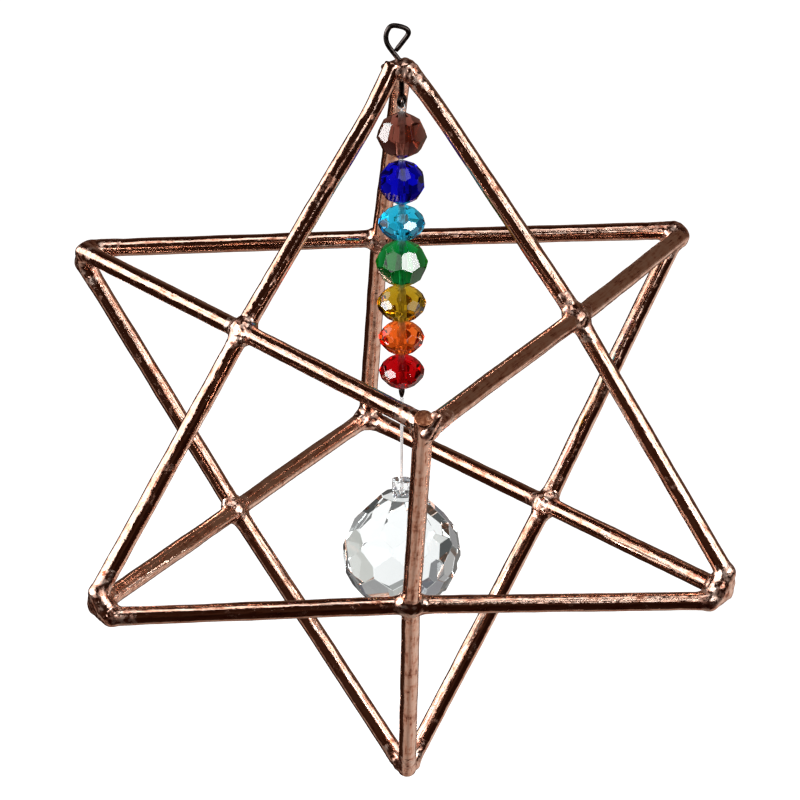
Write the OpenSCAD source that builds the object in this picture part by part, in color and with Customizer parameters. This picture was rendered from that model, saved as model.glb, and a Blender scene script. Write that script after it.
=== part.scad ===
// Merkaba pendant: two crossing tetrahedra of soldered copper rod, with a drop of cut beads and a crystal inside.
// The origin is the top of the inside of the hanging eye, and the pendant hangs down from it along -Z.
// The front tip points along -Y. All sizes are in millimetres.

/* [Star] */
// Length of one edge of a tetrahedron, between the points where its rods would meet
edge_l = 104; // [98:1:110]
// Diameter of the copper rod
rod_d = 3; // [2.6:0.1:3.1]
// Distance from the hanging point down to the top of the regular star
star_drop = 3; // [2.8:0.1:3.4]
// Diameter of the solder at a crossing
cross_d = 3.9; // [3.8:0.1:4.4]

/* [Hanging eye] */
// Diameter of the dark wire
wire_d = 0.8; // [0.7:0.02:0.84]
// Inside width of the eye
eye_w = 3; // [2.8:0.1:3.2]
// Distance from the hanging point down to the bend where the wire turns straight down
bend_drop = 5.1; // [4.9:0.1:5.2]
// How far the shank and the bead line stand to the right of the hanging point
line_x = 0.6; // [0.5:0.1:0.7]
// Distance from the hanging point down to the middle of the small ring
ring_drop = 12.1; // [11.9:0.1:12.1]
// Width of the small ring, between the middles of its wire
ring_w = 1.6; // [1.6:0.1:1.8]
// Clearance between pieces that pass through each other
play = 0.1; // [0.08:0.01:0.12]

/* [Beads] */
// Distance from the hanging point down to the top of the first bead
bead_drop = 14; // [13.9:0.1:14.2]
// Length of a round bead along its hole
round_l = 7.8; // [7.6:0.1:8]
// Length of a rondelle along its hole
rondelle_l = 5.8; // [5.6:0.1:6]
// Diameter of the hole in a bead
bead_hole_d = 1; // [0.9:0.1:1.2]
// Gap between two beads
bead_gap = 0.1; // [0.1:0.02:0.2]

/* [Line and crimp] */
// Diameter of the clear line
line_d = 0.4; // [0.3:0.02:0.42]
// Diameter of the crimp at its top
crimp_d = 1.1; // [1:0.05:1.3]
// Length of the crimp
crimp_l = 1.5; // [1.2:0.1:1.8]

/* [Crystal] */
// Diameter of the crystal ball
ball_d = 19.6; // [19:0.1:20]
// Distance from the hanging point down to the hole in the lug
hole_drop = 79.3; // [79:0.1:80]
// Distance from that hole down to the middle of the ball
hole_to_ball = 11; // [10.8:0.1:11.2]
// Width of the lug
lug_w = 3.8; // [3.6:0.1:4.2]
// Thickness of the lug, from front to back
lug_t = 3; // [2.8:0.1:3.2]
// Diameter of the hole in the lug
lug_hole_d = 1; // [0.9:0.1:1.2]

/* [Hidden] */
$fn = 48;

star_h = edge_l * sqrt(3 / 2);
tip_r = edge_l / sqrt(3);
// Angle between a rod and the line from its tip to the star's middle
tip_lean = asin(1 / sqrt(3));

// The eight tips. turn is the direction round the star and thirds the height in thirds of the star.
// aside and raised are how far this hand-made star is out of true there, and cut how far its rods stop short.
TIPS = [
    // turn, thirds, aside, raised, cut
    [0, 3, 1, -1.5, 3.6],
    [-90, 2, -1, -0.5, 3.2],
    [30, 2, -0.75, 0.5, 3.2],
    [150, 2, 0, 0, 3.6],
    [90, 1, -0.5, -0.5, 3.2],
    [210, 1, -0.5, 0.5, 3.6],
    [330, 1, 1, -0.5, 5],
    [0, 0, 1.5, -0.5, 3.2]
];
TURN = 0;
THIRDS = 1;
ASIDE = 2;
RAISED = 3;
CUT = 4;
APEX = 0;
FRONT = 1;
RIGHT = 2;
LEFT = 3;
BACK_LOW = 4;
LEFT_LOW = 5;
RIGHT_LOW = 6;
BOTTOM = 7;

// The six crossings. Each row has the tips of the rod that runs through and of the rod that is cut in two there,
// then how far the crossing is out of true.
CROSSINGS = [
    // whole rod, cut rod, aside, raised
    [[APEX, LEFT_LOW], [LEFT, FRONT], 0, 0.5],
    [[APEX, RIGHT_LOW], [RIGHT, FRONT], 1.5, 1],
    [[APEX, BACK_LOW], [LEFT, RIGHT], -0.5, 0],
    [[FRONT, BOTTOM], [LEFT_LOW, RIGHT_LOW], -0.5, 1],
    [[LEFT, BOTTOM], [LEFT_LOW, BACK_LOW], -0.5, 0.5],
    [[RIGHT_LOW, BACK_LOW], [RIGHT, BOTTOM], 0.5, -0.5]
];

// Rod ends that show on this star: how far they stop short of their tip, or less than 0 where they run past it
LONG_ENDS = [
    // crossing, tip, cut
    [0, APEX, 1.7],
    [1, RIGHT, 0.4],
    [3, FRONT, -3],
    [3, BOTTOM, 1]
];

// The seven beads from the top down
BEADS = [
    // diameter, length, colour
    [7.8, round_l, "saddlebrown"],
    [7.6, round_l, "mediumblue"],
    [7.8, rondelle_l, "turquoise"],
    [8.2, round_l, "green"],
    [8.2, rondelle_l, "gold"],
    [7.6, rondelle_l, "orangered"],
    [7.6, rondelle_l, "crimson"]
];
WIDE = 0;
LONG = 1;
TINT = 2;

// The regular place of a tip or of the middle of a star
function level(thirds) = -star_drop - star_h * (1 - thirds / 3);
function true_tip(t) = t[THIRDS] % 3 == 0
    ? [0, 0, level(t[THIRDS])]
    : [tip_r * cos(t[TURN]), tip_r * sin(t[TURN]), level(t[THIRDS])];
function tip(i) = true_tip(TIPS[i]) + [TIPS[i][ASIDE], 0, TIPS[i][RAISED]];
function crossing(c) = (true_tip(TIPS[c[0][0]]) + true_tip(TIPS[c[0][1]])) / 2 + [c[2], 0, c[3]];
star_middle = [0, 0, level(1.5)];

function unit(v) = v / norm(v);
function towards(a, b, distance) = a + distance * unit(b - a);
function solder_d(cut) = rod_d + 0.44 * cut;

// Height of the top of bead i, counted from 0
function bead_top(i) = i == 0 ? -bead_drop : bead_top(i - 1) - BEADS[i - 1][LONG] - bead_gap;

module bar(a, b, d) {
    way = b - a;
    translate(a)
        rotate([0, acos(way[2] / norm(way)), atan2(way[1], way[0])])
            cylinder(h = norm(way), d = d);
}

function cut_at(n, i) =
    let (own = [for (row = LONG_ENDS) if (row[0] == n && row[1] == i) row[2]])
    len(own) > 0 ? own[0] : TIPS[i][CUT];

// Half a rod, from crossing n to tip i. Rods meet in the solder only, and a cut rod butts on the whole one.
module half_rod(n, i, short) {
    middle = crossing(CROSSINGS[n]);
    bar(towards(middle, tip(i), short), towards(tip(i), middle, cut_at(n, i)), rod_d);
}

module star_rods() {
    for (n = [0:len(CROSSINGS) - 1]) {
        for (i = CROSSINGS[n][0]) half_rod(n, i, rod_d / 10);
        for (i = CROSSINGS[n][1]) half_rod(n, i, rod_d / 2 + 0.05);
    }
}

module star_solder() {
    for (c = CROSSINGS)
        translate(crossing(c)) sphere(d = cross_d);
    for (i = [0:len(TIPS) - 1])
        translate(towards(tip(i), star_middle, TIPS[i][CUT] * cos(tip_lean)))
            sphere(d = solder_d(TIPS[i][CUT]));
}

module star_frame() {
    socket_l = 6;
    color("chocolate")
        difference() {
            union() {
                star_rods();
                star_solder();
            }
            translate([line_x, 0, -bend_drop - socket_l + play])
                cylinder(h = socket_l + 1, d = wire_d + 2 * play);
        }
}

// The angle from a circle's middle at which the line through an outside point touches the circle
function touch_turn(point, r, side) = atan2(point[1], point[0]) + side * acos(r / norm(point));

// A straight stretch of wire or line, and the slightly fuller bend that joins it to the next stretch
module stretch(a, b, d) {
    bar(towards(a, b, d / 20), towards(b, a, d / 20), d);
}

module bend(p, d) {
    translate(p) sphere(d = 1.1 * d);
}

module hanging_eye() {
    eye_r = (eye_w + wire_d) / 2;
    eye_z = -eye_w / 2;
    shank_top = [line_x, -bend_drop - eye_z];
    left_turn = touch_turn(shank_top, eye_r, -1);
    left_touch = eye_r * [cos(left_turn), sin(left_turn)];
    butt = 0.6 * shank_top + 0.4 * left_touch;
    right_turn = touch_turn(butt, eye_r, 1);
    right_touch = eye_r * [cos(right_turn), sin(right_turn)];
    ring_top = [line_x, 0, -ring_drop + ring_w / 2];
    slack = 2;
    function upright(p) = [p[0], 0, p[1] + eye_z];
    color("dimgray") {
        translate([0, 0, eye_z])
            rotate([90, -right_turn - slack, 0])
                rotate_extrude(angle = 360 + left_turn - right_turn - 2 * slack)
                    translate([eye_r, 0]) circle(d = wire_d);
        stretch(upright(left_touch), upright(shank_top), wire_d);
        stretch(upright(right_touch), upright(butt), 0.94 * wire_d);
        stretch(upright(shank_top), ring_top, wire_d);
        for (p = [left_touch, right_touch, shank_top]) bend(upright(p), wire_d);
        bend(ring_top, wire_d);
        translate([line_x, 0, -ring_drop])
            rotate([90, 0, 50])
                rotate_extrude() translate([ring_w / 2, 0]) circle(d = 0.9 * wire_d);
    }
}

// The line hangs in a small loop from the ring. Under the crimp it splits into two strands, one in front of the
// crystal's lug and one behind it, and a short stretch through the lug's hole joins them.
module bead_line() {
    strand_d = 0.8 * line_d;
    loop_r = 0.45 * wire_d + play + line_d / 2;
    loop_z = -ring_drop - ring_w / 2;
    loop_end = [line_x, 0, loop_z - loop_r];
    split = [line_x, 0, bead_top(len(BEADS)) - crimp_l - line_d];
    apart = 0.85 * line_d / 2;
    side = lug_t / 2 + play + line_d;
    function foot(s) = [line_x + s * apart, s * side, -hole_drop];
    color("whitesmoke") {
        translate([line_x, 0, loop_z])
            rotate([90, 0, -40])
                rotate_extrude() translate([loop_r, 0]) circle(d = strand_d);
        bend(loop_end, line_d);
        stretch(loop_end, split, line_d);
        for (s = [-1, 1]) {
            stretch(split + [s * apart, 0, line_d / 2], foot(s), strand_d);
            bend(foot(s), strand_d);
        }
        stretch(foot(-1), foot(1), strand_d);
    }
}

// A ring of flat cuts round a stone, each facing up by lift degrees, at one distance from the stone's middle
module flats(count, first, lift, distance) {
    big = 6 * distance;
    intersection_for (k = [0:count - 1])
        rotate([0, -lift, first + k * 360 / count])
            translate([distance - big, -big / 2, -big / 2]) cube(big);
}

module round_stone(d, l) {
    intersection() {
        cylinder(h = l, d = 1.02 * d, center = true, $fn = 10);
        flats(10, 0, 40, 0.48 * d);
        flats(10, 0, -40, 0.48 * d);
    }
}

module rondelle_stone(d, l) {
    intersection() {
        cylinder(h = l, d = 1.02 * d, center = true, $fn = 10);
        flats(10, 0, 44, 0.415 * d);
        flats(10, 0, -44, 0.415 * d);
    }
}

module bead(i) {
    d = BEADS[i][WIDE];
    l = BEADS[i][LONG];
    color(BEADS[i][TINT])
        translate([line_x, 0, bead_top(i) - l / 2])
            difference() {
                if (l == round_l) round_stone(d, l);
                else rondelle_stone(d, l);
                cylinder(h = 2 * l, d = bead_hole_d, center = true);
            }
}

module brown_bead() bead(0);
module blue_bead() bead(1);
module aqua_bead() bead(2);
module green_bead() bead(3);
module amber_bead() bead(4);
module orange_bead() bead(5);
module red_bead() bead(6);

module line_crimp() {
    color("black")
        translate([line_x, 0, bead_top(len(BEADS)) - crimp_l])
            difference() {
                cylinder(h = crimp_l, d1 = line_d + 0.4, d2 = crimp_d);
                cylinder(h = 3 * crimp_l, d = line_d + play, center = true);
            }
}

// A ball with a steeper crown that runs up to the lug, and a small table underneath
module ball_stone(d) {
    intersection() {
        translate([-d, -d, -0.48 * d]) cube([2 * d, 2 * d, 1.03 * d]);
        flats(10, 0, 0, 0.485 * d);
        flats(10, 18, 20, 0.485 * d);
        flats(10, 0, 41, 0.468 * d);
        flats(10, 18, -27, 0.485 * d);
        flats(10, 0, -53, 0.485 * d);
        flats(10, 18, -74, 0.485 * d);
    }
}

module crystal_drop() {
    color("aliceblue")
        translate([line_x, 0, -hole_drop])
            difference() {
                union() {
                    translate([0, 0, -hole_to_ball]) ball_stone(ball_d);
                    rotate([90, 0, 0]) cylinder(h = lug_t, d = lug_w, center = true);
                    translate([-lug_w / 2, -lug_t / 2, -hole_to_ball / 2])
                        cube([lug_w, lug_t, hole_to_ball / 2]);
                }
                rotate([90, 0, 0]) cylinder(h = 2 * lug_t, d = lug_hole_d, center = true);
            }
}

star_frame();
hanging_eye();
bead_line();
brown_bead();
blue_bead();
aqua_bead();
green_bead();
amber_bead();
orange_bead();
red_bead();
line_crimp();
crystal_drop();
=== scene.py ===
"""The looks of a merkaba pendant: soldered copper rods, a wire eye, cut glass beads and a crystal drop.

Shapes are worked out in millimetres in the frame's axes and made into meshes in metres.
"""
import math

import bmesh
import bpy
import numpy as np
from mathutils import Matrix, Vector


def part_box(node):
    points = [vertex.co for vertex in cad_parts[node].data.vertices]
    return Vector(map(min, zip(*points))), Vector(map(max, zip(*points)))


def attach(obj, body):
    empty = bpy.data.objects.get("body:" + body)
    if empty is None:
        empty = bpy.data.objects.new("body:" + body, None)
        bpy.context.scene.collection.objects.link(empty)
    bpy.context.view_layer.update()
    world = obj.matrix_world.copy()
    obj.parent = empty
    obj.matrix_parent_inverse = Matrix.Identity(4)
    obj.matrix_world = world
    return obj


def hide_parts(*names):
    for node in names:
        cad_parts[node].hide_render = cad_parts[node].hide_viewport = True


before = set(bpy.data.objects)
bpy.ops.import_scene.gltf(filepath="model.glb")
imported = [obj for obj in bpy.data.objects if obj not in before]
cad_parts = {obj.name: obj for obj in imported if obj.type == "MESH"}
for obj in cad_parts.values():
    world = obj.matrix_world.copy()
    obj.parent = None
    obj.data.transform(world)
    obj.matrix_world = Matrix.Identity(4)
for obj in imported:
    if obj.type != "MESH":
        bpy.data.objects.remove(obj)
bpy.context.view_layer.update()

MM = 0.001

# Star, in millimetres. The places of its tips and crossings are those of the frame.
EDGE = 104
ROD_D = 3
ROD_R = ROD_D / 2
STAR_DROP = 3
STAR_H = EDGE * math.sqrt(1.5)
TIP_R = EDGE / math.sqrt(3)
TIPS = [
    # name, turn, thirds of the height, aside, raised, how far the rods' round ends stay short
    ("apex", 0, 3, 1, -1.5, 3.3),
    ("front", -90, 2, -1, -0.5, 2.1),
    ("right", 30, 2, -0.75, 0.5, 1.7),
    ("left", 150, 2, 0, 0, 2.9),
    ("back_low", 90, 1, -0.5, -0.5, 3.3),
    ("left_low", 210, 1, -0.5, 0.5, 4.2),
    ("right_low", 330, 1, 1, -0.5, 5.2),
    ("bottom", 0, 0, 1.5, -0.5, 2.35),
]
CROSSINGS = [
    # whole rod, cut rod, aside, raised, how much higher the cut rod is
    (("apex", "left_low"), ("left", "front"), 0, 0.5, -0.5),
    (("apex", "right_low"), ("right", "front"), 1.5, 1, -0.25),
    (("apex", "back_low"), ("left", "right"), -0.5, 0, 0.45),
    (("front", "bottom"), ("left_low", "right_low"), -0.5, 1, -0.35),
    (("left", "bottom"), ("left_low", "back_low"), -0.5, 0.5, -0.45),
    (("right_low", "back_low"), ("right", "bottom"), 0.5, -0.5, 0),
]


def level(thirds):
    """Height of a third of the star, from its bottom apex at 0 to its top one at 3."""
    return -STAR_DROP - STAR_H * (1 - thirds / 3)


def regular_tip(turn, thirds):
    """Where a tip of a regular star is."""
    if thirds % 3 == 0:
        return np.array([0, 0, level(thirds)])
    a = math.radians(turn)
    return np.array([TIP_R * math.cos(a), TIP_R * math.sin(a), level(thirds)])


REGULAR = {name: regular_tip(turn, thirds) for name, turn, thirds, *_ in TIPS}
TIP = {name: REGULAR[name] + [aside, 0, raised] for name, _, _, aside, raised, _ in TIPS}
SHORT = {name: short for name, *_, short in TIPS}
MIDDLE = np.array([0, 0, level(1.5)])


def crossing(whole, aside, raised):
    """Where a whole rod's middle is."""
    return (REGULAR[whole[0]] + REGULAR[whole[1]]) / 2 + [aside, 0, raised]


def unit(v):
    return v / np.linalg.norm(v)


# How far soldering by hand left a rod's end out of its place, to the side and up.
# The end's own tip is first, and the one at the rod's other end second.
OUT_OF_PLACE = {
    ("apex", "right_low"): (-0.35, 0),
    ("front", "left"): (0, 0.6),
    ("front", "right"): (0, -0.4),
    ("front", "bottom"): (-0.3, 0),
    ("right", "front"): (0, -0.75),
    ("right", "bottom"): (-0.6, 0),
    ("left", "front"): (0, 0.25),
    ("left", "bottom"): (-0.07, 0),
    ("left_low", "back_low"): (0, 0.4),
    ("left_low", "right_low"): (0, -0.25),
    ("right_low", "back_low"): (0, 0.25),
    ("bottom", "right"): (-0.4, 0),
    ("bottom", "left"): (0.2, 0),
}
# Where a rod bends near its end: pairs of distance from the end and shift to the side
BENDS = {
    ("apex", "right_low"): [(0, -0.8), (2.5, -0.65), (8, -0.1), (14, 0)],
    ("apex", "left_low"): [(0, -1.0), (3.5, -0.55), (6, -0.25), (9, 0), (12, 0.2), (30, 0)],
}


def half_rods():
    """For each end of each rod: its tip, its other end, its crossing's number, and both their places."""
    out = []
    for number, (whole, cut, aside, raised, higher) in enumerate(CROSSINGS):
        place = crossing(whole, aside, raised)
        for pair, middle in ((whole, place), (cut, place + [0, 0, higher])):
            for i, other in (pair, pair[::-1]):
                shift = OUT_OF_PLACE.get((i, other), (0, 0))
                out.append((i, other, number, TIP[i] + [shift[0], 0, shift[1]], middle))
    return out


def bent(pair, tip, middle, distance):
    """The place on a rod at a distance from its tip."""
    way = unit(middle - tip)
    bends = BENDS.get(pair, [(0, 0)])
    aside = np.interp(distance, [s for s, _ in bends], [d for _, d in bends])
    return tip + way * distance + [aside, 0, 0]


# Meshes

def add_object(name, data):
    """A new object in the scene, from a mesh, a light or a camera."""
    obj = bpy.data.objects.new(name, data)
    bpy.context.scene.collection.objects.link(obj)
    return obj


def mesh_object(name, verts, faces, body):
    """A new mesh from points in millimetres, which rides on a body of the frame."""
    mesh = bpy.data.meshes.new(name)
    mesh.from_pydata((np.asarray(verts) * MM).tolist(), [], [list(map(int, f)) for f in faces])
    mesh.validate()
    mesh.update()
    mesh.shade_smooth()
    obj = add_object(name, mesh)
    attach(obj, body)
    return obj


def finished(name, bm):
    """A new object from an edited mesh, which is freed."""
    mesh = bpy.data.meshes.new(name)
    bm.to_mesh(mesh)
    bm.free()
    return add_object(name, mesh)


def apply_modifiers(obj):
    """Turns an object's modifiers into its mesh."""
    graph = bpy.context.evaluated_depsgraph_get()
    mesh = bpy.data.meshes.new_from_object(obj.evaluated_get(graph))
    obj.modifiers.clear()
    obj.data = mesh


def combine(obj, operation, other):
    """Joins another object to this one, or cuts it out of this one, and removes the other."""
    modifier = obj.modifiers.new("combine", "BOOLEAN")
    modifier.operation = operation
    modifier.solver = "EXACT"
    modifier.object = other
    apply_modifiers(obj)
    bpy.data.objects.remove(other)


def waves(points, length, seed):
    """Smooth random bumps between about -1 and 1, of about the given length, at each point."""
    count = 10
    random = np.random.default_rng(seed)
    total = np.zeros(points.shape[:-1])
    for _ in range(count):
        way = unit(random.normal(size=3)) * 2 * math.pi / (length * random.uniform(0.7, 1.5))
        total += np.sin(points @ way + random.uniform(0, 2 * math.pi))
    return total / math.sqrt(count / 2)


def tube(line, radii, sides):
    """Points and faces of a closed tube along a line, and each point's place round it and along it."""
    line = np.asarray(line, float)
    ways = np.gradient(line, axis=0)
    ways /= np.linalg.norm(ways, axis=1)[:, None]
    across = unit(np.cross(ways[0], [0.3, 0.5, 0.8]))
    lengths = np.concatenate([[0], np.cumsum(np.linalg.norm(np.diff(line, axis=0), axis=1))])
    turns = np.arange(sides) * 2 * math.pi / sides
    verts, places = [], []
    for point, way, r, length in zip(line, ways, radii, lengths):
        across = unit(across - way * (across @ way))
        other = np.cross(way, across)
        verts.append(point + r * (np.outer(np.cos(turns), across) + np.outer(np.sin(turns), other)))
        places += [(k / sides, length) for k in range(sides)]
    return np.concatenate(verts), tube_faces(len(line), sides), places


def tube_faces(rings, sides):
    """Quads between a tube's rings, and then its two ends."""
    faces = []
    for i in range(rings - 1):
        for k in range(sides):
            a, b = i * sides + k, i * sides + (k + 1) % sides
            faces.append((a, b, b + sides, a + sides))
    faces.append(tuple(range(sides))[::-1])
    faces.append(tuple((rings - 1) * sides + k for k in range(sides)))
    return faces


def join(parts):
    """One list of points, of faces and of places from several."""
    verts, faces, places, start = [], [], [], 0
    for part in parts:
        verts.append(part[0])
        faces += [tuple(start + i for i in f) for f in part[1]]
        places += part[2] if len(part) > 2 else []
        start += len(part[0])
    return np.concatenate(verts), faces, places


def cell_edges():
    """The twelve edges of a grid's cell: each one's axis and its two corners."""
    for axis in range(3):
        for a in (0, 1):
            for b in (0, 1):
                start = [a, b]
                start.insert(axis, 0)
                end = list(start)
                end[axis] = 1
                yield axis, start, end


def net_points(field, low, step):
    """A point in each cell that the field's surface goes through, and the grid of these points' numbers."""
    n = np.array(field.shape) - 1
    total = np.zeros((*n, 3))
    hits = np.zeros(n)
    for axis, start, end in cell_edges():
        f0 = field[tuple(slice(s, s + m) for s, m in zip(start, n))]
        f1 = field[tuple(slice(s, s + m) for s, m in zip(end, n))]
        meets = (f0 < 0) != (f1 < 0)
        share = np.where(meets, f0 / np.where(meets, f0 - f1, 1), 0)
        for k in range(3):
            total[..., k] += meets * (share if k == axis else start[k])
        hits += meets
    mixed = hits > 0
    numbers = np.full(n, -1)
    numbers[mixed] = np.arange(mixed.sum())
    return low + step * (np.argwhere(mixed) + total[mixed] / hits[mixed][:, None]), numbers


def net_faces(inside, numbers, axis):
    """Quads round the grid's edges along an axis that go through the surface."""
    u, v = [k for k in range(3) if k != axis]
    here = [slice(1, None)] * 3
    here[axis] = slice(0, -1)
    there = list(here)
    there[axis] = slice(1, None)
    s0, s1 = inside[tuple(here)], inside[tuple(there)]
    at = np.argwhere(s0 != s1)
    grow = s0[tuple(at.T)]
    at[:, u] += 1
    at[:, v] += 1
    keep = (at[:, u] < numbers.shape[u]) & (at[:, v] < numbers.shape[v])
    at, grow = at[keep], grow[keep]
    ring = []
    for du, dv in ((-1, -1), (0, -1), (0, 0), (-1, 0)):
        cell = at.copy()
        cell[:, u] += du
        cell[:, v] += dv
        ring.append(numbers[tuple(cell.T)])
    quads = np.stack(ring, 1)
    outward = grow if axis != 1 else ~grow
    quads[~outward] = quads[~outward][:, ::-1]
    return quads[(quads >= 0).all(1)].tolist()


def surface_net(field, low, step):
    """Points and quads of the surface where a sampled field passes through zero."""
    verts, numbers = net_points(field, low, step)
    faces = []
    for axis in range(3):
        faces += net_faces(field < 0, numbers, axis)
    return verts, faces


# Rods

ROD_SIDES = 32
ROD_STEP = 0.8
ROD_BOW = 0.12
# How far a rod's end stays inside its solder, or reaches into a whole rod
SUNK = 0.2
# The eased rim of a cut end: pairs of distance from the end and share of the rod's radius
ROD_RIM = [(0, 0.88), (0.06, 0.96), (0.18, 1)]
# Rods whose cut ends stand out of the solder. The end's own tip is first, and the one at the rod's other
# end second. The value is how far the cut end stays short of its tip.
LONG_ENDS = {
    ("apex", "left_low"): 1.75,
    ("apex", "right_low"): 2.6,
    ("right", "front"): 0.45,
    ("front", "bottom"): -2.9,
    ("bottom", "front"): 1.05,
    ("left", "left_low"): 2.6,
}


def rod_line(points):
    """Points along straight stretches, with their corners eased."""
    line = []
    for a, b in zip(points, points[1:]):
        count = max(2, int(np.linalg.norm(b - a) / ROD_STEP))
        line += [a + (b - a) * k / count for k in range(count)]
    line = np.array(line + [points[-1]])
    for _ in range(6):
        line[1:-1] = (line[:-2] + 2 * line[1:-1] + line[2:]) / 4
    return line


def rod(points, seed):
    """A slightly uneven round rod through the given points, with its two cut ends eased."""
    line = rod_line(points)
    aside = unit(np.cross(line[-1] - line[0], [0.4, 0.3, 0.9]))
    share = np.linspace(0, 1, len(line))
    line += np.outer(ROD_BOW * np.sin(math.pi * share) * math.sin(seed * 1.7), aside)
    way0, way1 = unit(line[1] - line[0]), unit(line[-2] - line[-1])
    head = [line[0] + way0 * s for s, _ in ROD_RIM]
    tail = [line[-1] + way1 * s for s, _ in ROD_RIM[::-1]]
    line = np.concatenate([head, line[1:-1], tail])
    rim = [ROD_R * k for _, k in ROD_RIM]
    radii = rim + [ROD_R] * (len(line) - 2 * len(rim)) + rim[::-1]
    verts, faces, places = tube(line, radii, ROD_SIDES)
    centre = np.repeat(line, ROD_SIDES, axis=0)
    size = 1 + 0.012 * waves(verts, 9, seed) + 0.006 * waves(verts, 2.6, seed + 50)
    return centre + (verts - centre) * size[:, None], faces, places


def face_is_end(k, points):
    """Whether face k of a rod of so many points is on one of its cut ends."""
    last_ring = points // ROD_SIDES - 2
    return int(k >= (last_ring + 1) * ROD_SIDES or k // ROD_SIDES in (0, last_ring))


def from_end(i, other, tip, middle):
    """Points from the rod's end at tip i to near its crossing."""
    short = LONG_ENDS.get((i, other), SHORT[i] + SUNK)
    near = [s for s, _ in BENDS.get((i, other), []) if s > short + 0.5]
    return [bent((i, other), tip, middle, s) for s in [short] + near]


def rod_parts():
    """Twelve rods, of which six are cut in two where they meet a whole one."""
    halves = {(i, other): (tip, middle) for i, other, _, tip, middle in half_rods()}
    parts = []
    for n, (whole, cut, *_) in enumerate(CROSSINGS):
        back = whole[::-1]
        middle = halves[whole][1]
        one_way, other_way = from_end(*whole, *halves[whole]), from_end(*back, *halves[back])
        parts.append(rod(one_way + [middle] + other_way[::-1], 3 * n))
        for k, pair in enumerate((cut, cut[::-1])):
            tip, middle = halves[pair]
            inner = middle + (ROD_R - SUNK) * unit(tip - middle)
            parts.append(rod([inner] + from_end(*pair, tip, middle)[::-1], 3 * n + 1 + k))
    return parts


def star_rods():
    """The rods as one piece. Their bare cut ends have the second material."""
    parts = rod_parts()
    verts, faces, places = join(parts)
    obj = mesh_object("copper_rods", verts, faces, "star")
    layer = obj.data.uv_layers.new(name="along")
    loops = np.zeros(len(obj.data.loops), int)
    obj.data.loops.foreach_get("vertex_index", loops)
    layer.data.foreach_set("uv", np.array(places)[loops].astype(np.float32).ravel())
    bare = [face_is_end(k, len(part[0])) for part in parts for k in range(len(part[1]))]
    obj.data.polygons.foreach_set("material_index", bare)
    return obj


# Solder. Where a tip or an end of a rod isn't named, it has the plain value.

SOLDER_STEP = 0.21
# Half the width of the cubes that are sampled round a tip and a crossing
TIP_REACH = 6.2
CROSSING_REACH = 5.2
# How much of a way along a rod goes straight inwards at a tip
INWARD_SHARE = 0.8165
# How much thicker than its rod solder is, how far it thins towards its edge, and over what length
SKIN = 0.04
THINNED = 0.14
THINNING = 2.5
# Fillets round the rods and the bridges of a tip, and round the rods and the drops of a crossing
TIP_FILLET = 1.4
BRIDGE_FILLET = 0.5
CROSSING_FILLET = 1.1
DROP_FILLET = 0.9
# The radius of the solder's middle, and of its bridges from rod to rod
BALL_R = 1.7
CROSSING_BALL_R = 1.65
BALLS = {"right_low": 2.5, "left_low": 2.15, "bottom": 1.3, "apex": 1.3}
BRIDGE_R = 1.2
BRIDGES = {"right_low": 1.55, "left_low": 1.45, "apex": 0.8, "front": 1.0}
# How far the bridges stand out between the rods' ends
BULGE = 0.2
BULGES = {"right_low": 0.28, "left": 0.08, "bottom": 0.1, "apex": -0.2}
# Lumps of solder, coarse and fine: their depth and length. They fade away from the solder's middle.
TIP_LUMPS = [(0.06, 2.4), (0.03, 0.9)]
TIP_LUMPS_REACH = 3.6
CROSSING_LUMPS = [(0.06, 2), (0.035, 0.8)]
CROSSING_LUMPS_REACH = 3.2
# How far solder covers a rod
COVERED = 5.6
CROSSING_COVERED = 4.6
SHORT_STUBS = {
    ("apex", "left_low"): 0.8,
    ("front", "bottom"): 0.6,
    ("right", "front"): 0.8,
    ("right_low", "left_low"): 3.4,
    ("right_low", "apex"): 3.4,
    ("right_low", "back_low"): 3.6,
}
# Where the round soldered end of a rod isn't where its tip's other two are
SOLDER_ENDS = {("apex", "right_low"): 2.5}
# Ridges of solder that stand out at a tip: from, to and radius
RIDGES = {
    "apex": [((-2.3, 0.1, -6.45), (-0.2, 0.1, -5.65), 0.5)],
    "front": [((0.55, -61.1, -43.75), (-1.05, -61.75, -46.3), 0.95)],
}


def melt(a, b, reach):
    """The union of two fields, with a fillet of about the given reach."""
    h = np.clip(0.5 + 0.5 * (b - a) / reach, 0, 1)
    return b + (a - b) * h - reach * h * (1 - h)


def grid(centre, reach):
    """The points of a cube of grid points, and its low corner."""
    n = int(2 * reach / SOLDER_STEP) + 1
    low = np.asarray(centre) - reach
    axis = np.arange(n) * SOLDER_STEP
    x, y, z = np.meshgrid(axis, axis, axis, indexing="ij")
    return np.stack([x, y, z], -1) + low, low


def stub(points, start, way, length):
    """Field of the solder on a rod from its round end, which thins until it is under the bare rod."""
    q = points - start
    along = q @ way
    off = np.linalg.norm(q - np.clip(along, 0, length)[..., None] * way, axis=-1)
    thinned = np.clip((along - length + THINNING) / THINNING, 0, 1) ** 2
    return off - (ROD_R + SKIN - THINNED * thinned)


def ball(points, centre, r):
    return np.linalg.norm(points - centre, axis=-1) - r


def bar(points, a, b, r):
    """Field of a round-ended bar from a to b."""
    a, b = np.array(a), np.array(b)
    share = np.clip((points - a) @ (b - a) / ((b - a) @ (b - a)), 0, 1)
    return np.linalg.norm(points - a - share[..., None] * (b - a), axis=-1) - r


def lumpy(field, points, middle, reach, lumps, seed):
    """A field of solder with lumps round its middle."""
    near = np.exp(-(ball(points, middle, 0) / reach) ** 4)
    (coarse, length), (fine, short_length) = lumps
    height = coarse * waves(points, length, seed) + fine * waves(points, short_length, seed + 9)
    return field + near * height


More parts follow.
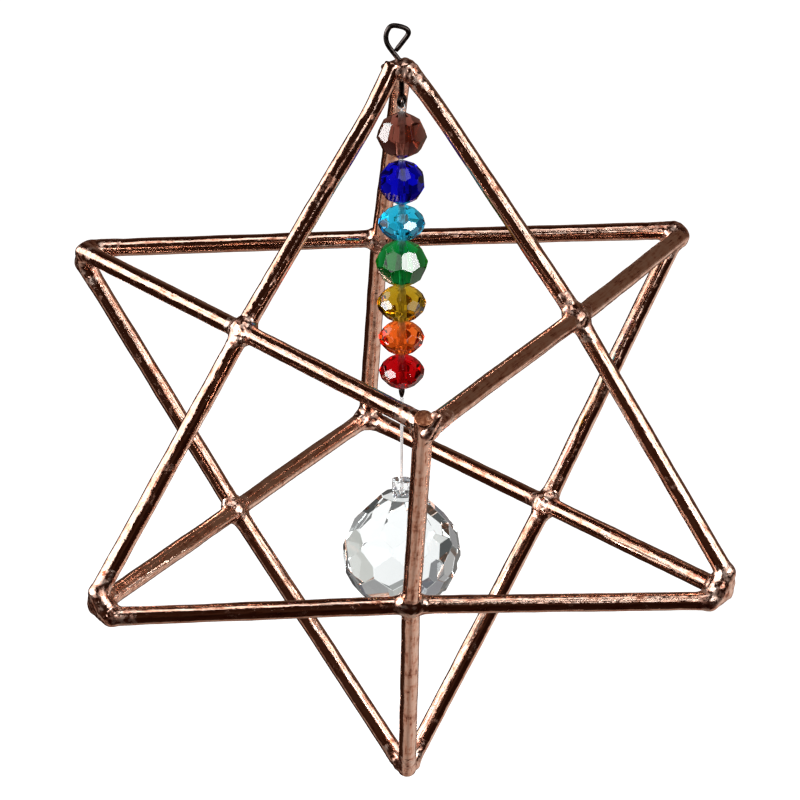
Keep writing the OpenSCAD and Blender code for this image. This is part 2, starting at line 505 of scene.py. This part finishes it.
def soldered_ends(name):
    """For each of a tip's rods: where its round end is, its way inwards and how far solder covers it."""
    out = []
    for i, other, _, tip, middle in half_rods():
        if i == name:
            short = SOLDER_ENDS.get((name, other), SHORT[name])
            start = bent((i, other), tip, middle, short)
            way = unit(bent((i, other), tip, middle, short + COVERED) - start)
            out.append((start, way, SHORT_STUBS.get((name, other), COVERED)))
    return out


def tip_solder(name, seed):
    """The solder at a tip: it rounds off the ends of three rods and bridges the gaps between them."""
    ends = soldered_ends(name)
    inward = unit(MIDDLE - TIP[name])
    points, low = grid(TIP[name] + inward * (SHORT[name] + 1.6), TIP_REACH)
    random = np.random.default_rng(seed)
    middle = TIP[name] + inward * INWARD_SHARE * SHORT[name]
    field = ball(points, middle, BALLS.get(name, BALL_R))
    for end in ends:
        field = melt(field, stub(points, *end), TIP_FILLET)
    for k in range(3):
        pair = (ends[k - 1][0], ends[k][0])
        between = (pair[0] + pair[1]) / 2 - inward * BULGES.get(name, BULGE)
        for start in pair:
            bridge = bar(points, start, between, BRIDGES.get(name, BRIDGE_R))
            field = melt(field, bridge, BRIDGE_FILLET)
    for _ in range(4):
        spot = middle + unit(random.normal(size=3)) * 1.5
        field = melt(field, ball(points, spot, random.uniform(0.3, 0.6)), 0.6)
    for ridge in RIDGES.get(name, []):
        field = melt(field, bar(points, *ridge), BRIDGE_FILLET)
    field = lumpy(field, points, middle, TIP_LUMPS_REACH, TIP_LUMPS, seed)
    return surface_net(field, low, SOLDER_STEP)


def crossing_solder(number, seed):
    """The solder at a crossing: fillets where the cut rod butts on the whole one."""
    ends = [(tip, middle) for _, _, n, tip, middle in half_rods() if n == number]
    centre = (ends[0][1] + ends[2][1]) / 2
    points, low = grid(centre, CROSSING_REACH)
    random = np.random.default_rng(seed)
    ways = [unit(tip - middle) for tip, middle in ends]
    field = ball(points, centre, CROSSING_BALL_R)
    for way, (_, middle) in zip(ways, ends):
        field = melt(field, stub(points, middle, way, CROSSING_COVERED), CROSSING_FILLET)
    for a in ways[:2]:
        for b in ways[2:]:
            spot = centre + (a + b) * random.uniform(1.1, 1.45)
            field = melt(field, ball(points, spot, random.uniform(0.4, 0.9)), DROP_FILLET)
    field = lumpy(field, points, centre, CROSSING_LUMPS_REACH, CROSSING_LUMPS, seed)
    return surface_net(field, low, SOLDER_STEP)


def star_solder():
    parts = [tip_solder(name, 100 + n) for n, (name, *_) in enumerate(TIPS)]
    parts += [crossing_solder(n, 200 + n) for n in range(len(CROSSINGS))]
    verts, faces, _ = join(parts)
    return mesh_object("solder", verts, faces, "star")


# Wire and crimp

WIRE_D = 0.8
WIRE_R = 0.52 * WIRE_D
WIRE_SIDES = 20
RING_DROP = 12.1
RING_W = 1.6
RING_TURN = 50
RING_ARC = 350
LINE_X = 0.6
EYE_RAISED = 0.14
# The wire's bends from its cut end, round the eye and down through the solder: aside, back and up
EYE = [
    (-0.36, 0.16, -4.0), (0.62, 0.14, -2.72), (1.55, 0.1, -1.5), (1.73, 0.06, -0.95), (1.45, 0.02, -0.45),
    (0.9, 0, -0.12), (0.1, 0, 0.12), (-0.8, 0, 0.26), (-1.38, 0, 0.0), (-1.8, 0, -0.75), (-1.98, 0, -1.6),
    (-1.86, 0, -2.5), (-1.5, 0, -3.25), (-0.7, 0, -4.35), (0.2, 0, -5.5), (0.48, 0, -6.4), (0.56, 0, -9),
    (0.6, 0, -11.0),
]
# The crimp from its top to its bottom: pairs of share of its length and share of its radius
CRIMP = [(0, 0.8), (0.08, 0.95), (0.35, 0.92), (0.6, 0.8), (0.85, 0.6), (1, 0.42)]


def eased(points):
    """A smooth line along a bent one, with its corners cut off three times."""
    line = np.array(points, float)
    for _ in range(3):
        cut = np.empty((2 * len(line) - 2, 3))
        cut[0::2] = 0.75 * line[:-1] + 0.25 * line[1:]
        cut[1::2] = 0.25 * line[:-1] + 0.75 * line[1:]
        line = np.concatenate([line[:1], cut[1:-1], line[-1:]])
    return line


def make_eye():
    """One bent wire: its cut end, the eye, the shank through the solder and the small ring below."""
    way = np.array([math.cos(math.radians(RING_TURN)), math.sin(math.radians(RING_TURN)), 0])
    middle = np.array([LINE_X, 0, -RING_DROP])
    turns = np.radians(np.linspace(90, 90 + RING_ARC, 40))
    ring = [middle + RING_W / 2 * (math.cos(t) * way + math.sin(t) * np.array([0, 0, 1])) for t in turns]
    line = eased(EYE) + [0, 0, EYE_RAISED]
    radii = np.full(len(line), WIRE_R)
    radii[0] *= 0.85
    parts = [tube(line, radii, WIRE_SIDES), tube(ring, np.full(len(ring), 0.9 * WIRE_R), WIRE_SIDES)]
    verts, faces, _ = join(parts)
    obj = mesh_object("bent_eye", verts, faces, "star")
    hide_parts("hanging_eye")
    return obj


def make_crimp():
    """A crimp pinched to a point by the pliers, and flatter from front to back."""
    low, high = (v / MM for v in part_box("line_crimp"))
    x, y, r = (low.x + high.x) / 2, (low.y + high.y) / 2, (high.x - low.x) / 2
    line = [(x, y, high.z + (low.z - high.z) * share) for share, _ in CRIMP]
    verts, faces, _ = tube(line, [r * width for _, width in CRIMP], WIRE_SIDES)
    obj = mesh_object("pinched_crimp", verts * [1, 0.8, 1], faces, "star")
    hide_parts("line_crimp")
    return obj


# Cut stones. A form is rows of facets: how many, turn, lift, and distance as a share of the stone's radius.

ROUGH_SIZE = 60
# Four interlocked rows
ROUND = [(8, 0, 24, 0.955), (8, 22.5, -24, 0.955), (8, 22.5, 60, 0.955), (8, 0, -60, 0.955)]
# Five rows that are nearly a ball
SMOOTH = [(10, 0, 4, 0.95), (10, 18, 39, 0.965), (10, 18, -31, 0.965),
          (10, 0, 66, 0.965), (10, 0, -61, 0.965)]
# Six interlocked rows, the middle two almost upright
RONDELLE = [(10, 0, 19, 0.945), (10, 18, -19, 0.945), (10, 18, 44, 0.85), (10, 0, -44, 0.85),
            (10, 0, 64, 0.8), (10, 18, -64, 0.8)]
BEADS = [
    # node, form, turn, colour of white light that has gone through 6 mm of it
    ("brown_bead", ROUND, -3.3, (0.30, 0.11, 0.08)),
    ("blue_bead", SMOOTH, 3, (0.004, 0.005, 0.52)),
    ("aqua_bead", RONDELLE, -1.3, (0.03, 0.50, 0.70)),
    ("green_bead", ROUND, 17, (0.010, 0.28, 0.06)),
    ("amber_bead", RONDELLE, 8, (0.50, 0.32, 0.018)),
    ("orange_bead", RONDELLE, 8.5, (0.80, 0.15, 0.018)),
    ("red_bead", RONDELLE, -19, (0.50, 0.003, 0.006)),
]
BEAD_HOLE_D = 1
# Eased edges: their width and their number of steps
BROAD_EDGE = (0.35, 2)
FINE_EDGE = (0.07, 1)
CRYSTAL_EDGE = (0.08, 1)

PRISM = [(10, 0, 0, 0.965), (10, 18, 22, 0.965), (10, 0, 43, 0.955), (10, 18, -26, 0.965),
         (10, 0, -50, 0.965), (10, 18, -71, 0.965)]
PRISM_TURN = 4
PRISM_BELOW = 0.955
PRISM_ABOVE = 1.045
BALL_D = 19.6
LUG = [(4, 0, 0, 1), (4, 45, 0, 1.15)]
LUG_W = 3.8
LUG_T = 3
LUG_ROOT = 6
LUG_HOLE_D = 1
HOLE_TO_BALL = 11


def facets(form, r, below, above):
    """A convex stone, cut flat along the form's facets and at the given distances below and above."""
    bm = bmesh.new()
    bmesh.ops.create_cube(bm, size=ROUGH_SIZE)
    planes = [(Vector((0, 0, -1)), below), (Vector((0, 0, 1)), above)]
    for count, turn, lift, share in form:
        for k in range(count):
            a, e = math.radians(turn + k * 360 / count), math.radians(lift)
            way = Vector((math.cos(a) * math.cos(e), math.sin(a) * math.cos(e), math.sin(e)))
            planes.append((way, share * r))
    for way, distance in planes:
        cut = bmesh.ops.bisect_plane(bm, geom=bm.verts[:] + bm.edges[:] + bm.faces[:], dist=1e-5,
                                     plane_co=way * distance, plane_no=way, clear_outer=True)
        edges = [g for g in cut["geom_cut"] if isinstance(g, bmesh.types.BMEdge)]
        if len(edges) > 2:
            bmesh.ops.contextual_create(bm, geom=edges)
    bmesh.ops.remove_doubles(bm, verts=bm.verts[:], dist=1e-3)
    bmesh.ops.recalc_face_normals(bm, faces=bm.faces[:])
    return bm


def stone_object(name, bm, centre, body, turn=0):
    bmesh.ops.rotate(bm, verts=bm.verts[:], matrix=Matrix.Rotation(math.radians(turn), 3, "Z"))
    bmesh.ops.translate(bm, verts=bm.verts[:], vec=Vector(centre))
    bmesh.ops.scale(bm, verts=bm.verts[:], vec=(MM, MM, MM))
    obj = finished(name, bm)
    obj.data.shade_flat()
    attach(obj, body)
    return obj


def drill(obj, r, a, b):
    """Cuts a round hole of radius r from a to b, in millimetres."""
    a, b = Vector(a) * MM, Vector(b) * MM
    bm = bmesh.new()
    turn = (b - a).to_track_quat("Z", "Y").to_matrix().to_4x4()
    bmesh.ops.create_cone(bm, cap_ends=True, segments=28, radius1=r * MM, radius2=r * MM,
                          depth=(b - a).length, matrix=Matrix.Translation((a + b) / 2) @ turn)
    combine(obj, "DIFFERENCE", finished("drill", bm))


def ease_edges(obj, width, steps):
    """Narrow flats along each edge between facets, where polished glass catches the light."""
    bevel = obj.modifiers.new("edges", "BEVEL")
    bevel.width = width * MM
    bevel.segments = steps
    bevel.limit_method = "ANGLE"
    bevel.angle_limit = math.radians(8)
    apply_modifiers(obj)
    obj.data.shade_flat()


def make_bead(node, form, turn):
    """A drilled bead in its node's box. The wall of its hole has the second material."""
    low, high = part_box(node)
    middle, size = (low + high) / 2 / MM, (high - low) / MM
    bm = facets(form, min(size.x, size.y) / 2, size.z / 2, size.z / 2)
    obj = stone_object("cut_" + node, bm, middle, "star", turn)
    drill(obj, BEAD_HOLE_D / 2, middle - Vector((0, 0, size.z)), middle + Vector((0, 0, size.z)))
    ease_edges(obj, *(BROAD_EDGE if form is SMOOTH else FINE_EDGE))
    for face in obj.data.polygons:
        aside = (face.center / MM - middle).xy.length
        upright = abs(face.normal.z) < 0.5
        face.material_index = int(aside < BEAD_HOLE_D * 0.52 and upright)
    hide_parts(node)
    return obj


def make_crystal():
    """The cut ball and its pierced lug, as one stone."""
    low, high = (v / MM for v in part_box("crystal_drop"))
    x = (low.x + high.x) / 2
    hole_z = high.z - LUG_W / 2
    r = BALL_D / 2
    stone = facets(PRISM, r, PRISM_BELOW * r, PRISM_ABOVE * r)
    obj = stone_object("cut_crystal", stone, (x, 0, hole_z - HOLE_TO_BALL), "crystal", PRISM_TURN)
    lug = facets(LUG, LUG_T / 2, LUG_ROOT, LUG_W / 2)
    combine(obj, "UNION", stone_object("lug", lug, (x, 0, hole_z), "crystal"))
    drill(obj, LUG_HOLE_D / 2, (x, -LUG_T, hole_z), (x, LUG_T, hole_z))
    ease_edges(obj, *CRYSTAL_EDGE)
    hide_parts("crystal_drop")
    return obj


# Nodes of materials

def new_material(name):
    """A new material, its node tree and its shader."""
    material = bpy.data.materials.new(name)
    material.use_nodes = True
    return material, material.node_tree, material.node_tree.nodes["Principled BSDF"]


def new_metal(name):
    """A new metal, its node tree, its shader, and the place on the object."""
    material, tree, shader = new_material(name)
    shader.inputs["Metallic"].default_value = 1
    return material, tree, shader, add_node(tree, "ShaderNodeTexCoord").outputs["Object"]


def add_node(tree, kind, **values):
    """A new node. Each value goes to its input of that name, or else to its setting."""
    node = tree.nodes.new(kind)
    for key, value in values.items():
        if key in node.inputs:
            node.inputs[key].default_value = value
        else:
            setattr(node, key, value)
    return node


def feed(tree, shader, sources):
    """Joins sockets to a shader's inputs by their names."""
    for name, source in sources.items():
        tree.links.new(source, shader.inputs[name])


def noise(tree, place, **values):
    """A noise texture's height at each place."""
    texture = add_node(tree, "ShaderNodeTexNoise", **values)
    tree.links.new(place, texture.inputs["Vector"])
    return texture.outputs["Fac"]


def calculated(tree, operation, value, second=None):
    """The result of a sum on a value, with a plain second value where the sum has two."""
    node = add_node(tree, "ShaderNodeMath", operation=operation)
    if second is not None:
        node.inputs[1].default_value = second
    tree.links.new(value, node.inputs[0])
    return node.outputs["Value"]


def toward(tree, direction, way):
    """How much a direction is along a way: 1 where they are the same."""
    dot = add_node(tree, "ShaderNodeVectorMath", operation="DOT_PRODUCT")
    dot.inputs[1].default_value = way
    tree.links.new(direction, dot.inputs[0])
    return dot.outputs["Value"]


def ramp(tree, source, stops):
    """Colours by a value, from pairs of place and colour. A plain number is a grey."""
    node = tree.nodes.new("ShaderNodeValToRGB")
    while len(node.color_ramp.elements) < len(stops):
        node.color_ramp.elements.new(0.5)
    for element, (place, colour) in zip(node.color_ramp.elements, stops):
        element.position = place
        element.color = (*colour, 1) if isinstance(colour, (tuple, list)) else (colour, colour, colour, 1)
    tree.links.new(source, node.inputs["Fac"])
    return node.outputs["Color"]


def relief(tree, shader, layers, strength=1):
    """Bumps from several heights, each with its depth in metres."""
    below = None
    for height, depth in layers:
        bump = add_node(tree, "ShaderNodeBump", Strength=strength, Distance=depth)
        tree.links.new(height, bump.inputs["Height"])
        if below:
            tree.links.new(below, bump.inputs["Normal"])
        below = bump.outputs["Normal"]
    tree.links.new(below, shader.inputs["Normal"])


def half_and_half(tree, a, b):
    """The middle of two values."""
    node = add_node(tree, "ShaderNodeMix", data_type="FLOAT")
    node.inputs["Factor"].default_value = 0.5
    tree.links.new(a, node.inputs["A"])
    tree.links.new(b, node.inputs["B"])
    return node.outputs["Result"]


def blended(tree, blend, a, b):
    """Two colours added or multiplied."""
    node = add_node(tree, "ShaderNodeMix", data_type="RGBA", blend_type=blend)
    node.inputs[0].default_value = 1
    tree.links.new(a, node.inputs[6])
    tree.links.new(b, node.inputs[7])
    return node.outputs[2]


def chosen(tree, switch, no, yes):
    """One of two colours, each a socket or plain values."""
    node = add_node(tree, "ShaderNodeMix", data_type="RGBA")
    tree.links.new(switch, node.inputs[0])
    for place, colour in ((6, no), (7, yes)):
        if isinstance(colour, tuple):
            node.inputs[place].default_value = (*colour, 1)
        else:
            tree.links.new(colour, node.inputs[place])
    return node.outputs[2]


def light_path(tree, output):
    """What the renderer knows of a ray of light."""
    return tree.nodes.new("ShaderNodeLightPath").outputs[output]


def caught(tree):
    """1 for light that was mirrored three times or more, and else 0."""
    return calculated(tree, "GREATER_THAN", light_path(tree, "Glossy Depth"), 2.5)


def paint(obj, *materials):
    """Gives an object its materials, and leaves which face has which as it was."""
    places = [face.material_index for face in obj.data.polygons]
    obj.data.materials.clear()
    for material in materials:
        obj.data.materials.append(material)
    if len(materials) > 1:
        obj.data.polygons.foreach_set("material_index", places)


# Metals

def along_rod(tree, stretch):
    """A place on a rod as a point on a long cylinder, so that what it feeds is drawn out along the rod."""
    uv = add_node(tree, "ShaderNodeUVMap", uv_map="along")
    parts = tree.nodes.new("ShaderNodeSeparateXYZ")
    tree.links.new(uv.outputs["UV"], parts.inputs["Vector"])
    turn = calculated(tree, "MULTIPLY", parts.outputs["X"], 2 * math.pi)
    place = tree.nodes.new("ShaderNodeCombineXYZ")
    feed(tree, place, {
        "X": calculated(tree, "COSINE", turn),
        "Y": calculated(tree, "SINE", turn),
        "Z": calculated(tree, "MULTIPLY", parts.outputs["Y"], 1 / stretch),
    })
    return place.outputs["Vector"]


def rod_copper():
    """Drawn and soldered copper: streaks along the rod, dark red-brown stains, dull patches and pits."""
    material, tree, shader, place = new_metal("copper_rod")
    streak = noise(tree, along_rod(tree, 14), Scale=4.5, Detail=3, Roughness=0.6)
    patch = noise(tree, place, Scale=420, Detail=5, Roughness=0.65)
    wobble = noise(tree, place, Scale=750, Detail=1.5, Roughness=0.5)
    pits = add_node(tree, "ShaderNodeTexVoronoi", Scale=900)
    tree.links.new(place, pits.inputs["Vector"])
    pit = ramp(tree, pits.outputs["Distance"], [(0.06, 0), (0.2, 1)])
    colour = ramp(tree, half_and_half(tree, streak, patch),
                  [(0.37, (0.30, 0.09, 0.045)), (0.44, (0.78, 0.40, 0.27)),
                   (0.51, (0.95, 0.62, 0.48)), (0.66, (0.99, 0.73, 0.61))])
    rough = ramp(tree, patch, [(0.36, 0.3), (0.43, 0.1), (0.6, 0.05)])
    feed(tree, shader, {"Base Color": colour, "Roughness": rough})
    relief(tree, shader, [(pit, 0.00001), (streak, 0.00003), (wobble, 0.00004)])
    return material


def solder_copper():
    """Melted metal: pinkish, rough and lumpy, with smooth places that glint."""
    material, tree, shader, place = new_metal("copper_solder")
    patch = noise(tree, place, Scale=650, Detail=5, Roughness=0.65)
    wobble = noise(tree, place, Scale=1100, Detail=2, Roughness=0.5)
    colour = ramp(tree, patch, [(0.36, (0.34, 0.11, 0.06)), (0.44, (0.84, 0.46, 0.34)),
                                (0.54, (0.96, 0.66, 0.53)), (0.66, (0.99, 0.80, 0.70))])
    rough = ramp(tree, wobble, [(0.4, 0.4), (0.5, 0.22), (0.62, 0.1)])
    feed(tree, shader, {"Base Color": colour, "Roughness": rough})
    relief(tree, shader, [(patch, 0.00006), (wobble, 0.00006)])
    return material


def cut_copper():
    """The bare cut end of a rod: dull orange-brown, scored and pitted."""
    material, tree, shader, place = new_metal("copper_cut_end")
    grain = noise(tree, place, Scale=1300, Detail=4, Roughness=0.6)
    colour = ramp(tree, grain, [(0.36, (0.20, 0.06, 0.03)), (0.5, (0.50, 0.20, 0.10)),
                                (0.62, (0.80, 0.42, 0.27))])
    rough = ramp(tree, grain, [(0.35, 0.6), (0.65, 0.38)])
    feed(tree, shader, {"Base Color": colour, "Roughness": rough})
    relief(tree, shader, [(grain, 0.0002)])
    return material


def dark_metal(name, colour):
    """Dark metal with a faint grain."""
    material, tree, shader, place = new_metal(name)
    grain = noise(tree, place, Scale=1500, Detail=4)
    tint = ramp(tree, grain, [(0.3, [c * 0.4 for c in colour]), (0.7, [c * 1.6 for c in colour])])
    rough = ramp(tree, grain, [(0.3, 0.2), (0.7, 0.45)])
    feed(tree, shader, {"Base Color": tint, "Roughness": rough})
    relief(tree, shader, [(grain, 0.00004)], 0.3)
    return material


# Glass

# The depth in metres at which light has a glass's named colour
GLASS_DEPTH = 0.006


def glass(name, through, ior=1.54, rough=0.0):
    """Cut glass, with faint waves in it."""
    material, tree, shader = new_material(name)
    shader.inputs["Transmission Weight"].default_value = 1
    shader.inputs["IOR"].default_value = ior
    place = add_node(tree, "ShaderNodeTexCoord").outputs["Object"]
    swirl = noise(tree, place, Scale=260, Detail=3)
    pale = [0.8 + 0.2 * c for c in through]
    tint = ramp(tree, swirl, [(0.3, [0.96 * c for c in pale]), (0.7, pale)])
    gloss = ramp(tree, swirl, [(0.35, rough), (0.7, rough + 0.02)])
    feed(tree, shader, {"Base Color": tint, "Roughness": gloss})
    relief(tree, shader, [(swirl, 0.00001)], 0.1)
    absorb(tree, through)
    let_out(tree, shader)
    return material


def absorb(tree, through):
    """Colours light by the depth of glass that it goes through."""
    loss = [-math.log(c) for c in through]
    inside = tree.nodes.new("ShaderNodeVolumeAbsorption")
    inside.inputs["Density"].default_value = max(loss) / GLASS_DEPTH
    inside.inputs["Color"].default_value = (*(1 - v / max(loss) for v in loss), 1)
    tree.links.new(inside.outputs["Volume"], tree.nodes["Material Output"].inputs["Volume"])


def let_out(tree, shader):
    """Lets light that stays caught in a stone go straight out of it."""
    straight = tree.nodes.new("ShaderNodeBsdfTransparent")
    surface = tree.nodes.new("ShaderNodeMixShader")
    for place, source in enumerate((caught(tree), shader.outputs[0], straight.outputs[0])):
        tree.links.new(source, surface.inputs[place])
    tree.links.new(surface.outputs[0], tree.nodes["Material Output"].inputs["Surface"])


def drilled_glass(name, through):
    """The ground wall of a drilled hole, partly clear and mostly frosted white."""
    material = glass(name, through, rough=0.06)
    tree = material.node_tree
    place = add_node(tree, "ShaderNodeTexCoord").outputs["Object"]
    clear = ramp(tree, noise(tree, place, Scale=900, Detail=3), [(0.35, 0.1), (0.65, 0.5)])
    feed(tree, tree.nodes["Principled BSDF"], {"Transmission Weight": clear})
    return material


# Stage

# Boxes and lamps: name, azimuth, elevation, distance, width and height, radiance
LIGHTS = [
    ("left_box", -84, 21, 1.0, (2.05, 0.74), 2),
    ("right_box", 62, 27, 1.0, (0.85, 0.52), 2),
    ("right_low_box", 26, 25, 1.0, (0.5, 0.2), 2),
    ("top_box", -8, 74, 1.0, (0.5, 0.42), 1.6),
    ("left_lamp", -80, 17, 0.95, (0.46, 0.34), 13),
    ("right_lamp", 40, 25, 0.95, (0.2, 0.24), 14),
]


def put_facing(obj, azimuth, elevation, distance):
    """Puts a camera or a light so that it faces the star's middle. Azimuth 0 is the front, 90 the right."""
    a, e = math.radians(azimuth), math.radians(elevation)
    out = Vector((math.sin(a) * math.cos(e), -math.cos(a) * math.cos(e), math.sin(e)))
    obj.location = Vector(MIDDLE) * MM + out * distance
    obj.rotation_mode = "QUATERNION"
    obj.rotation_quaternion = (-out).to_track_quat("-Z", "Y")


def make_camera():
    """The photograph's view, fitted to the star's meeting points."""
    azimuth, elevation, distance = -4.85, 20.32, 0.717
    focal, width, middle_at = 4346, 800, (398.1, 419.3)
    data = bpy.data.cameras.new("camera")
    data.sensor_width = 36
    data.lens = focal / width * data.sensor_width
    data.shift_x = (width / 2 - middle_at[0]) / width
    data.shift_y = (middle_at[1] - width / 2) / width
    data.clip_start, data.clip_end = 0.01, 20
    camera = add_object("camera", data)
    put_facing(camera, azimuth, elevation, distance)
    bpy.context.scene.camera = camera


def area_light(name, azimuth, elevation, distance, size, radiance):
    """A soft box or a lamp, which the camera doesn't see."""
    data = bpy.data.lights.new(name, "AREA")
    data.shape = "RECTANGLE"
    data.size, data.size_y = size
    data.energy = radiance * math.pi * size[0] * size[1]
    light = add_object(name, data)
    put_facing(light, azimuth, elevation, distance)
    light.visible_camera = False


def tent_profile():
    """Points of a floor that curves up into a wall and then into a roof, as distance out and height."""
    wall_r, wall_h, bend = 3.2, 2.6, 1.2
    quarter = np.linspace(0, math.pi / 2, 12)
    profile = [(0, 0), (0.6 * wall_r, 0)]
    profile += [(wall_r - bend + bend * math.sin(t), bend - bend * math.cos(t)) for t in quarter]
    profile += [(wall_r - bend + bend * math.cos(t), wall_h + bend * math.sin(t)) for t in quarter]
    return profile + [(0, wall_h + bend)]


def make_tent():
    """A pale floor that curves up into a tent round the star, with a painted glow and painted shade that
    only glass shows. It stays out of the mirror of the metal.
    """
    floor_z = -0.62
    bm = bmesh.new()
    verts = [bm.verts.new((r, 0, floor_z + z)) for r, z in tent_profile()]
    edges = [bm.edges.new(pair) for pair in zip(verts, verts[1:])]
    bmesh.ops.spin(bm, geom=verts + edges, cent=(0, 0, 0), axis=(0, 0, 1), angle=2 * math.pi, steps=64)
    bmesh.ops.remove_doubles(bm, verts=bm.verts[:], dist=1e-4)
    bmesh.ops.recalc_face_normals(bm, faces=bm.faces[:])
    bmesh.ops.reverse_faces(bm, faces=bm.faces[:])
    floor = finished("floor", bm)
    floor.data.shade_smooth()
    floor.visible_glossy = False
    floor.visible_diffuse = False
    paint(floor, floor_with_painted_glow())


def floor_with_painted_glow():
    """Even white for the camera. Through glass it shows painted light and shade: a glow painted white
    behind and below and grey elsewhere, over a colour painted dark.
    """
    material, tree, shader = new_material("floor")
    shader.inputs["Roughness"].default_value = 0.9
    shader.inputs["Specular IOR Level"].default_value = 0.1
    shader.inputs["Emission Strength"].default_value = 1
    place = add_node(tree, "ShaderNodeTexCoord").outputs["Object"]
    pale = ramp(tree, noise(tree, place, Scale=3), [(0.3, 0.92), (0.7, 0.94)])
    middle = add_node(tree, "ShaderNodeVectorMath", operation="SUBTRACT")
    middle.inputs[1].default_value = MIDDLE * MM
    tree.links.new(place, middle.inputs[0])
    direction = add_node(tree, "ShaderNodeVectorMath", operation="NORMALIZE")
    tree.links.new(middle.outputs["Vector"], direction.inputs[0])
    # Painted glow: greys and white by direction from the star's middle, in place of a lit room seen through
    # glass
    through = ramp(tree, toward(tree, direction.outputs["Vector"], (0.14, 0.82, -0.55)),
                   [(0.0, 0.30), (0.36, (0.24, 0.24, 0.29)), (0.5, (0.17, 0.17, 0.20)), (0.62, 0.34),
                    (0.74, (0.58, 0.58, 0.54)), (0.8, 0.95), (0.84, 1)])
    seen = light_path(tree, "Is Camera Ray")
    # Rays other than the camera's see a colour painted dark and the painted glow
    feed(tree, shader, {
        "Base Color": chosen(tree, seen, (0.1, 0.1, 0.1), pale),
        "Emission Color": chosen(tree, seen, through, (1, 1, 1)),
    })
    material.cycles.emission_sampling = "NONE"
    return material


def moved_up(tree, value):
    """A value with a half added, so that a ramp can read it below zero too."""
    return calculated(tree, "ADD", value, 0.5)


def lit_table(tree, place):
    """The table below, which is darker on its left and fades to the front, above and straight behind."""
    table = ramp(tree, moved_up(tree, toward(tree, place, (0.5, 0, 0))),
                 [(0.20, (0.40, 0.33, 0.29)), (0.35, (0.42, 0.35, 0.31)), (0.5, (0.24, 0.19, 0.16)),
                  (0.64, (0.46, 0.39, 0.35)), (0.78, (0.62, 0.56, 0.52))])
    fades = [
        ramp(tree, moved_up(tree, toward(tree, place, (0, 1, 0))), [(0.40, 0), (0.47, 1)]),
        ramp(tree, toward(tree, place, (0, 0, -1)), [(0.2, 0), (0.38, 1)]),
        ramp(tree, toward(tree, place, (0.08, 0.94, -0.34)), [(0.82, 1), (0.93, 0.03)]),
        ramp(tree, toward(tree, place, (-0.6, 0.75, -0.25)), [(0.69, 1), (0.76, 0)]),
    ]
    for fade in fades:
        table = blended(tree, "MULTIPLY", table, fade)
    return table


def mirrored_room(tree, place):
    """What the metal mirrors: a dark room, the table and a brown wall behind on the right."""
    dark = ramp(tree, toward(tree, place, (0.45, -0.35, -0.82)),
                [(0.0, (0.024, 0.009, 0.005)), (0.25, (0.04, 0.018, 0.011)), (0.55, (0.012, 0.004, 0.002)),
                 (0.9, (0.02, 0.007, 0.004))])
    room = blended(tree, "ADD", dark, lit_table(tree, place))
    wall = ramp(tree, toward(tree, place, (0.55, 0.83, 0.1)), [(0.62, 0), (0.86, (0.085, 0.062, 0.046))])
    return blended(tree, "ADD", room, wall)


def seen_in_glass(tree, place, room):
    """The room for metal, and greys for light that comes through glass or was let out of it."""
    through = calculated(tree, "GREATER_THAN", light_path(tree, "Transmission Depth"), 0.5)
    left_up = ramp(tree, toward(tree, place, (-0.75, 0.1, 0.65)), [(0.0, 0.22), (0.3, 0.45), (0.8, 0.8)])
    shade = chosen(tree, through, room, left_up)
    straight = chosen(tree, light_path(tree, "Is Transmission Ray"), shade, (0.13, 0.13, 0.14))
    return chosen(tree, caught(tree), straight, (0.12, 0.12, 0.12))


def make_studio():
    """The lights and the room, as the photograph's rods mirror them."""
    for light in LIGHTS:
        area_light(*light)
    world = bpy.data.worlds.new("studio")
    bpy.context.scene.world = world
    world.use_nodes = True
    tree = world.node_tree
    place = add_node(tree, "ShaderNodeTexCoord").outputs["Generated"]
    background = tree.nodes["Background"]
    tree.links.new(seen_in_glass(tree, place, mirrored_room(tree, place)), background.inputs["Color"])
    background.inputs["Strength"].default_value = 1
    bpy.context.scene.view_settings.view_transform = "Standard"


def main():
    make_camera()
    make_tent()
    make_studio()
    rods = star_rods()
    solder = star_solder()
    for obj in (rods, solder):
        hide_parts("star_frame")
    paint(rods, rod_copper(), cut_copper())
    paint(solder, solder_copper())
    beads = [make_bead(node, form, turn) for node, form, turn, _ in BEADS]
    for obj, (node, _, _, through) in zip(beads, BEADS):
        paint(obj, glass(node, through), drilled_glass(node + "_hole", through))
    paint(make_crystal(), glass("crystal", (0.97, 0.98, 0.98), 1.56))
    paint(make_eye(), dark_metal("dark_wire", (0.055, 0.045, 0.042)))
    paint(make_crimp(), dark_metal("dark_crimp", (0.06, 0.05, 0.05)))
    paint(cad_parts["bead_line"], glass("clear_line", (0.5, 0.52, 0.55), 1.53))


main()
